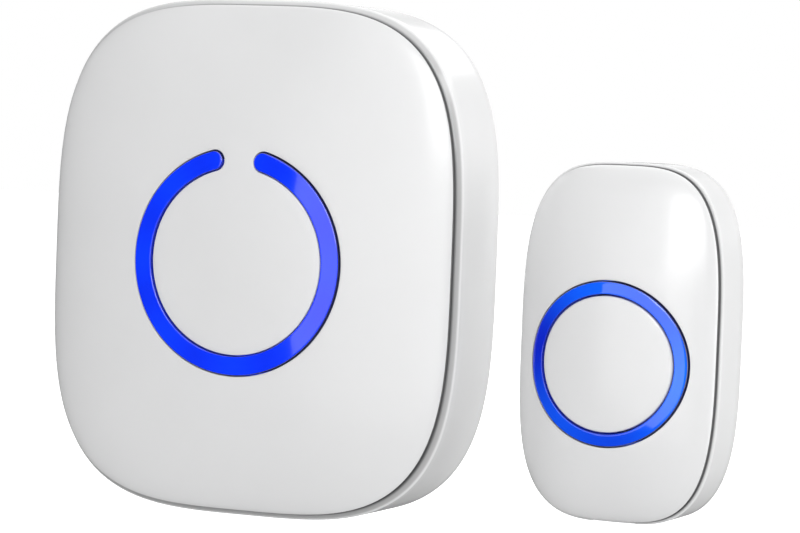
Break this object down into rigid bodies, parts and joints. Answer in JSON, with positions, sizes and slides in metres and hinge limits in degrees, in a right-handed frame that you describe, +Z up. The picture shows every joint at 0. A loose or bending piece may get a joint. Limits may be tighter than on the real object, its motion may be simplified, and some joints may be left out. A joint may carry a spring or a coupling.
{
  "type": "wireless doorbell",
  "caption": "Plug-in door chime receiver with an open blue light ring, and a slim battery push-button transmitter with a lit ring round its button.",
  "frame": {"origin": "middle of the receiver's raised plug face, between the two blades, on the wall plane", "axes": "+X to the viewer's right, from the receiver to the transmitter; +Y into the wall, along the blades; +Z up"},
  "size_m": [0.1267, 0.0439, 0.092],
  "materials": {
    "cover_plastic": "glossy light grey-white moulded plastic",
    "housing_plastic": "satin white moulded plastic",
    "ring_plastic": "translucent blue light guide, polished",
    "key_plastic": "satin moulded plastic",
    "screw_steel": "plated steel",
    "blade_metal": "nickel-plated brass",
    "contact_metal": "spring brass",
    "dark_plastic": "moulded black plastic",
    "plunger_plastic": "moulded dark plastic",
    "board_laminate": "green circuit board",
    "led_plastic": "clear lens over phosphor",
    "module_steel": "tinned screening can",
    "antenna_wire": "enamelled copper wire",
    "film_plastic": "yellow box",
    "can_aluminium": "sleeved can",
    "resistor_ceramic": "coated body",
    "basket_steel": "zinc-plated sheet",
    "magnet_ferrite": "ferrite",
    "cone_film": "formed film",
    "seal_rubber": "soft black rubber",
    "coin_steel": "stainless steel",
    "lead_sleeve": "red insulated wire"
  },
  "bodies": {
    "receiver": {"receiver_front_cover": "cover_plastic", "receiver_light_ring": "ring_plastic", "receiver_rear_housing": "housing_plastic", "plug_blades": "blade_metal", "housing_screws": "screw_steel", "blade_carrier": "dark_plastic", "carrier_screws": "screw_steel", "main_board": "board_laminate", "ring_leds": "led_plastic", "melody_chip": "dark_plastic", "radio_module": "module_steel", "receiver_antenna": "antenna_wire", "power_board": "board_laminate", "film_capacitor": "film_plastic", "reservoir_capacitor": "can_aluminium", "fuse_resistor": "resistor_ceramic", "rectifier": "dark_plastic", "board_link": "dark_plastic", "mains_leads": "lead_sleeve", "board_screws": "screw_steel", "speaker_basket": "basket_steel", "speaker_magnet": "magnet_ferrite", "speaker_cone": "cone_film", "speaker_leads": "lead_sleeve", "key_switches": "dark_plastic"},
    "volume_key": {"volume_key": "key_plastic", "volume_plunger": "plunger_plastic"},
    "next_melody_key": {"next_melody_key": "key_plastic", "next_melody_plunger": "plunger_plastic"},
    "previous_melody_key": {"previous_melody_key": "key_plastic", "previous_melody_plunger": "plunger_plastic"},
    "transmitter_base": {"transmitter_base": "housing_plastic", "transmitter_seal": "seal_rubber"},
    "transmitter_front": {"transmitter_front_shell": "cover_plastic", "transmitter_light_ring": "ring_plastic", "transmitter_board": "board_laminate", "transmitter_leds": "led_plastic", "button_switch": "dark_plastic", "coin_cell": "coin_steel", "coin_cell_clip": "contact_metal", "coin_cell_contact": "contact_metal", "radio_chip": "dark_plastic", "transmitter_antenna": "antenna_wire", "transmitter_screws": "screw_steel"},
    "push_button": {"push_button": "cover_plastic", "button_switch_plunger": "plunger_plastic"}
  },
  "joints": [
    {"name": "volume_press", "type": "slide", "parent": "receiver", "child": "volume_key", "axis": [1, 0, 0], "range_m": [0, 0.0006], "stiffness_N_per_m": 400},
    {"name": "next_melody_press", "type": "slide", "parent": "receiver", "child": "next_melody_key", "axis": [1, 0, 0], "range_m": [0, 0.0006], "stiffness_N_per_m": 400},
    {"name": "previous_melody_press", "type": "slide", "parent": "receiver", "child": "previous_melody_key", "axis": [1, 0, 0], "range_m": [0, 0.0006], "stiffness_N_per_m": 400},
    {"name": "transmitter_lift", "type": "slide", "parent": "receiver", "child": "transmitter_base", "axis": [0, 0, 1], "range_m": [0, 0.1]},
    {"name": "front_release", "type": "slide", "parent": "transmitter_base", "child": "transmitter_front", "axis": [0, -1, 0], "range_m": [0, 0.03]},
    {"name": "button_press", "type": "slide", "parent": "transmitter_front", "child": "push_button", "axis": [0, 1, 0], "range_m": [0, 0.0008], "stiffness_N_per_m": 500}
  ]
}
